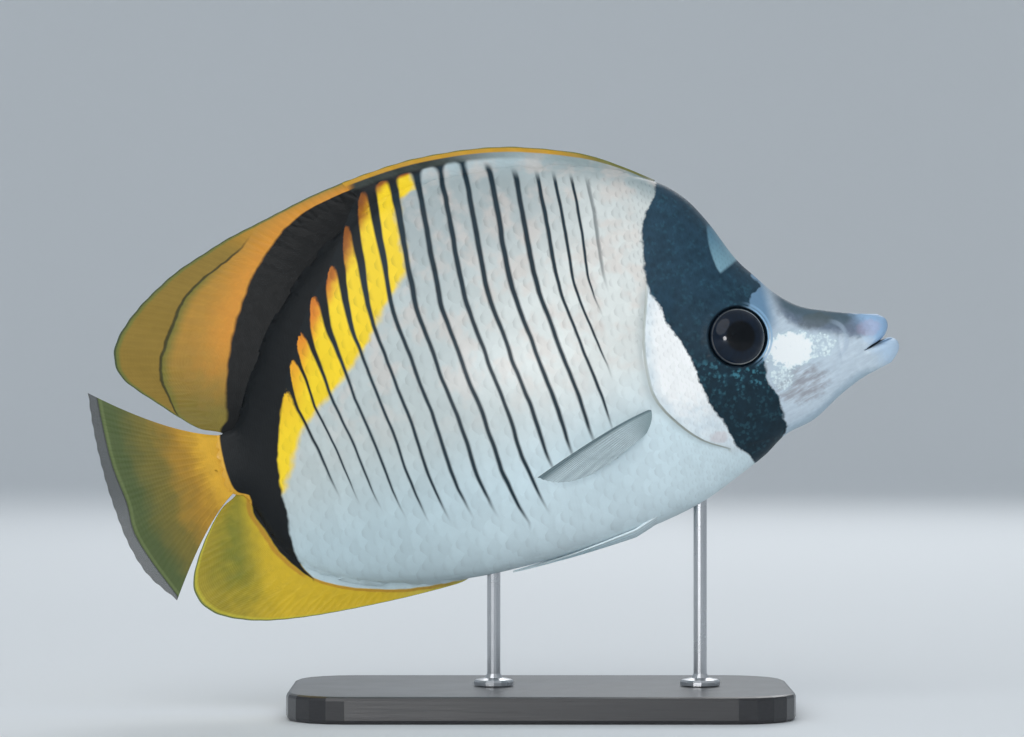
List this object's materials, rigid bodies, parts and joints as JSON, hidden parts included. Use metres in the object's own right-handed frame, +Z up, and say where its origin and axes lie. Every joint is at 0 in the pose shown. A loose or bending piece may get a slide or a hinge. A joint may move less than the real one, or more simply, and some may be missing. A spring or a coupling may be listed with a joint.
{
  "type": "lined butterflyfish model",
  "caption": "Life-size still model of a lined butterflyfish, fins spread and snout raised, held by two steel rods over a flat display base.",
  "frame": {"origin": "under the middle of the whole model's box, on the surface that the display base stands on", "axes": "+X from the tail towards the snout, +Y towards the fish's left side, +Z up"},
  "size_m": [0.2436, 0.0832, 0.1697],
  "materials": {
    "skin": "scaled fish skin, white with fine dark lines and black bands, satin and slightly pearly",
    "lips": "smooth pale lavender skin, satin",
    "eyes": "black, wet and glossy, with a narrow silver ring",
    "yellow_fins": "ribbed membrane, yellow to orange, with dark and pale edge lines",
    "clear_fins": "ribbed grey translucent membrane",
    "stand_base": "black satin lacquer",
    "stand_rods": "turned steel, satin"
  },
  "bodies": {
    "root": {"head": "skin", "torso": "skin", "tail_base": "skin", "gill_cover_left": "skin", "gill_cover_right": "skin", "upper_jaw": "lips", "lower_jaw": "lips", "eye_left": "eyes", "eye_right": "eyes", "dorsal_fin_spiny": "yellow_fins", "dorsal_fin_soft": "yellow_fins", "anal_fin": "yellow_fins", "tail_fin": "yellow_fins", "pectoral_fin_left": "clear_fins", "pectoral_fin_right": "clear_fins", "pelvic_fin_left": "clear_fins", "pelvic_fin_right": "clear_fins", "stand_base": "stand_base", "stand_rod_front": "stand_rods", "stand_rod_rear": "stand_rods"}
  },
  "joints": []
}
